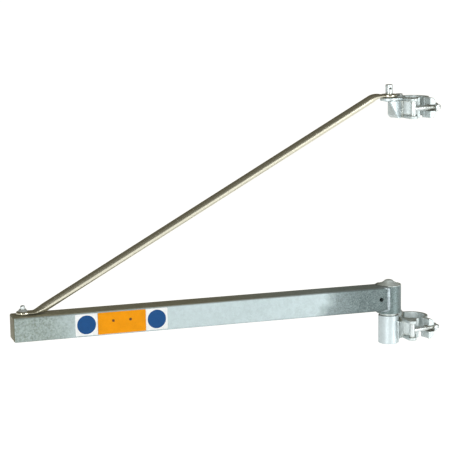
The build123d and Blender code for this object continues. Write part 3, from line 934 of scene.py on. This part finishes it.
class JIB_OT_welds(Operator):
    """Lay the weld beads of the jib and of the brackets"""

    bl_idname = "jib.welds"
    bl_label = "Welds"

    def jib_beads(self, material, pale):
        hub = middle("pivot_pin")
        brim = Vector((hub.x, hub.y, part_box("hub_tube")[1].z))
        heart = Vector((hub.x - BEAM_BEAD_HEART, hub.y, middle("jib_beam").z))
        rides = ("jib", "galvanised_beam")
        line = beam_hub_points(hub)
        weld_bead(
            "beam_hub_weld", line, BEAM_BEAD, heart, True, material, *rides, BEAM_BEAD_WIDTH
        )
        verts, faces = lathe(DOME_FILLET, FILLET_SIDES)
        fillet = moved(([wavy(vert) for vert in verts], faces), Matrix.Translation(brim))
        add_piece("dome_weld", *fillet, pale, *rides)
        line = ring_points(brim, half_width("hub_top_ring") - COVER_INSET)
        weld_bead("cover_weld", line, COVER_BEAD, brim, True, pale, *rides)

    def bracket_beads(self, material):
        ahead = Vector(JOINTS["lower_nut_run"]["axis"]).normalized()
        aside = Vector((-ahead.y, ahead.x, 0))

        def spot(x, y, z):
            """Point set out along and across the T-bolts' direction."""
            return ahead * x + aside * y + Vector((0, 0, z))

        def bead(name, line, radius, heart, closed):
            weld_bead(name, line, radius, heart, closed, material, "bracket", "zinc_plate")

        under, over = (corner.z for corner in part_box("top_plate"))
        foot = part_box("upper_coupler_body")[0].z
        half = (over - foot) / 2

        # Sleeve on the saddle of the lower coupler
        boss_top = under - over + half
        reach = math.hypot(*middle("pivot_sleeve").xy)
        sleeve = half_width("pivot_sleeve")
        sides = [SADDLE_HALF * (2 * part - 1) for part in even_parts(SADDLE_STEPS)]
        rounds = [(-reach + math.sqrt(sleeve**2 - y**2), y) for y in sides]
        line = [spot(x, y, boss_top) for x, y in rounds]
        for x, y in reversed(rounds):
            line.append(spot(x, y, -half + max(0.0, BOSS_CHAMFER_START - x)))
        bead("sleeve_weld", line, SLEEVE_BEAD, spot(*SLEEVE_HEART), True)

        # Gusset and top plate on the upper coupler
        rise = under - foot - 2 * GUSSET_SEAM_INSET
        start = foot + GUSSET_SEAM_INSET
        line = [spot(*GUSSET_SEAM, start + rise * part) for part in even_parts(SEAM_STEPS)]
        bead("gusset_weld", line, GUSSET_BEAD, spot(*GUSSET_HEART, under), False)
        places = [PLATE_LAP_START + PLATE_LAP_LENGTH * part for part in even_parts(SEAM_STEPS)]
        line = [spot(x, PLATE_LAP_SIDE, under) for x in places]
        heart = spot(*PLATE_LAP_HEART, under + PLATE_LAP_HEART_RISE)
        bead("plate_gusset_weld", line, PLATE_BEAD, heart, False)
        degrees = [BAND_FIRST_DEGREE + BAND_DEGREES * part for part in even_parts(BAND_STEPS)]
        arc = [round_point(BAND_RADIUS, math.radians(degree)) for degree in degrees]
        line = [spot(*place.xy, over - BAND_SINK) for place in arc]
        bead("plate_band_weld", line, PLATE_BEAD, spot(0, 0, over), False)
        pin = Vector((*middle("upper_pin").xy, under))
        bead("pin_weld", ring_points(pin, PIN_WELD_RADIUS), PIN_BEAD, pin, True)

    def execute(self, context):
        colors = context.scene.jib_finish
        look = {"roughness": 0.36, "grain": 800.0, "depth": 0.00008}
        self.jib_beads(zinc("jib_weld", colors.weld, **look), bpy.data.materials["dipped_pin"])
        self.bracket_beads(zinc("bracket_weld", colors.plate, **look))
        return {"FINISHED"}


# Studio


def camera_axes(azimuth, elevation, roll):
    """Right, up and back directions of a camera."""
    back = Vector((
        math.sin(azimuth) * math.cos(elevation),
        -math.cos(azimuth) * math.cos(elevation),
        math.sin(elevation),
    ))
    level = Vector((math.cos(azimuth), math.sin(azimuth), 0))
    upright = back.cross(level)
    right = math.cos(roll) * level + math.sin(roll) * upright
    up = -math.sin(roll) * level + math.cos(roll) * upright
    return right, up, back


def add_camera(stage):
    """Camera at the photograph's angle."""
    data = bpy.data.cameras.new("photo_camera")
    data.sensor_fit = "HORIZONTAL"
    data.sensor_width = SENSOR_MM
    data.lens = stage.focal_pixels / PHOTO_PIXELS * SENSOR_MM
    data.clip_end = FAR_CLIP
    camera = link(bpy.data.objects.new("photo_camera", data))
    right, up, back = camera_axes(stage.azimuth, stage.elevation, stage.roll)
    turn = Matrix((right, up, back)).transposed()
    camera.matrix_world = Matrix.Translation(stage.place) @ turn.to_4x4()
    bpy.context.scene.camera = camera


def add_floor(stage):
    """Wide pale floor that takes the shadow and looks white."""
    level = CAD_BOX[0][2] - stage.floor_drop
    mesh = bpy.data.meshes.new("floor")
    shape = bmesh.new()
    bmesh.ops.create_circle(shape, cap_ends=True, segments=FLOOR_SIDES, radius=FLOOR_RADIUS)
    bmesh.ops.translate(shape, verts=shape.verts, vec=(0, 0, level))
    shape.to_mesh(mesh)
    shape.free()
    floor = link(bpy.data.objects.new("floor", mesh))
    material, tree, shader, _ = new_material("pale_floor")
    shader.inputs["Base Color"].default_value = FLOOR_COLOR
    shader.inputs["Roughness"].default_value = FLOOR_ROUGHNESS
    path = shade(tree, "ShaderNodeLightPath").outputs
    seen = sum_of(tree, "MAXIMUM", path["Is Camera Ray"], path["Is Glossy Ray"])
    seen = sum_of(tree, "MAXIMUM", seen, path["Is Transmission Ray"])
    shader.inputs["Emission Color"].default_value = FLOOR_GLOW
    tree.links.new(seen, shader.inputs["Emission Strength"])
    mesh.materials.append(material)


def add_lamp(name, place, size, power):
    """Soft round lamp that looks at the middle of the jib."""
    data = bpy.data.lights.new(name, "AREA")
    data.shape = "DISK"
    data.size = size
    data.energy = power
    lamp = link(bpy.data.objects.new(name, data))
    lamp.location = place
    ahead = Vector(LAMP_AIM) - Vector(place)
    lamp.rotation_euler = ahead.to_track_quat("-Z", "Y").to_euler()


def add_world():
    """Dim room with paler walls, palest at the back, and a warm ceiling."""
    world = bpy.data.worlds.new("studio")
    bpy.context.scene.world = world
    world.use_nodes = True
    tree = world.node_tree
    look = split(tree, shade(tree, "ShaderNodeTexCoord").outputs["Generated"])
    front = weighted(tree, (look["Y"], ROOM_FRONT[1]), (look["X"], ROOM_FRONT[0]))
    paleness = spread(tree, front, -0.5, 0.9, 1.0, 0.4)
    wall = product(tree, paleness, spread(tree, look["Z"], 0.0, 0.4, 1.0, 0.0))
    color = blend(tree, wall, CEILING_COLOR, WALL_COLOR)
    tree.links.new(color, tree.nodes["Background"].inputs["Color"])


class JIB_OT_stage(Operator):
    """Set up the camera, the floor and the lamps"""

    bl_idname = "jib.stage"
    bl_label = "Stage"

    def execute(self, context):
        stage = context.scene.jib_stage
        add_camera(stage)
        add_floor(stage)
        add_world()
        for name, place, size, power in LAMPS:
            add_lamp(name, place, size, power)
        context.scene.view_settings.view_transform = "Standard"
        return {"FINISHED"}


class JIB_PT_panel(Panel):
    """Steps that dress the jib"""

    bl_label = "Slewing Winch Jib"
    bl_idname = "JIB_PT_panel"
    bl_space_type = "VIEW_3D"
    bl_region_type = "UI"
    bl_category = "Jib"

    def draw(self, context):
        for step in STEPS:
            self.layout.operator(step.bl_idname)


STEPS = (
    JIB_OT_beam,
    JIB_OT_tie_rod,
    JIB_OT_couplers,
    JIB_OT_bracket_plates,
    JIB_OT_fasteners,
    JIB_OT_pins,
    JIB_OT_rating_plate,
    JIB_OT_stickers,
    JIB_OT_welds,
    JIB_OT_stage,
)
SETTINGS = (
    ("jib_finish", JibFinishSettings),
    ("jib_detail", JibDetailSettings),
    ("jib_stage", JibStageSettings),
)


def register():
    for name, settings in SETTINGS:
        bpy.utils.register_class(settings)
        setattr(bpy.types.Scene, name, PointerProperty(type=settings))
    for item in (*STEPS, JIB_PT_panel):
        bpy.utils.register_class(item)


def unregister():
    for item in reversed((*STEPS, JIB_PT_panel)):
        bpy.utils.unregister_class(item)
    for name, settings in reversed(SETTINGS):
        delattr(bpy.types.Scene, name)
        bpy.utils.unregister_class(settings)


def main():
    register()
    bpy.ops.jib.beam()
    bpy.ops.jib.tie_rod()
    bpy.ops.jib.couplers()
    bpy.ops.jib.bracket_plates()
    bpy.ops.jib.fasteners()
    bpy.ops.jib.pins()
    bpy.ops.jib.rating_plate()
    bpy.ops.jib.stickers()
    bpy.ops.jib.welds()
    bpy.ops.jib.stage()


if __name__ == "__main__":
    main()
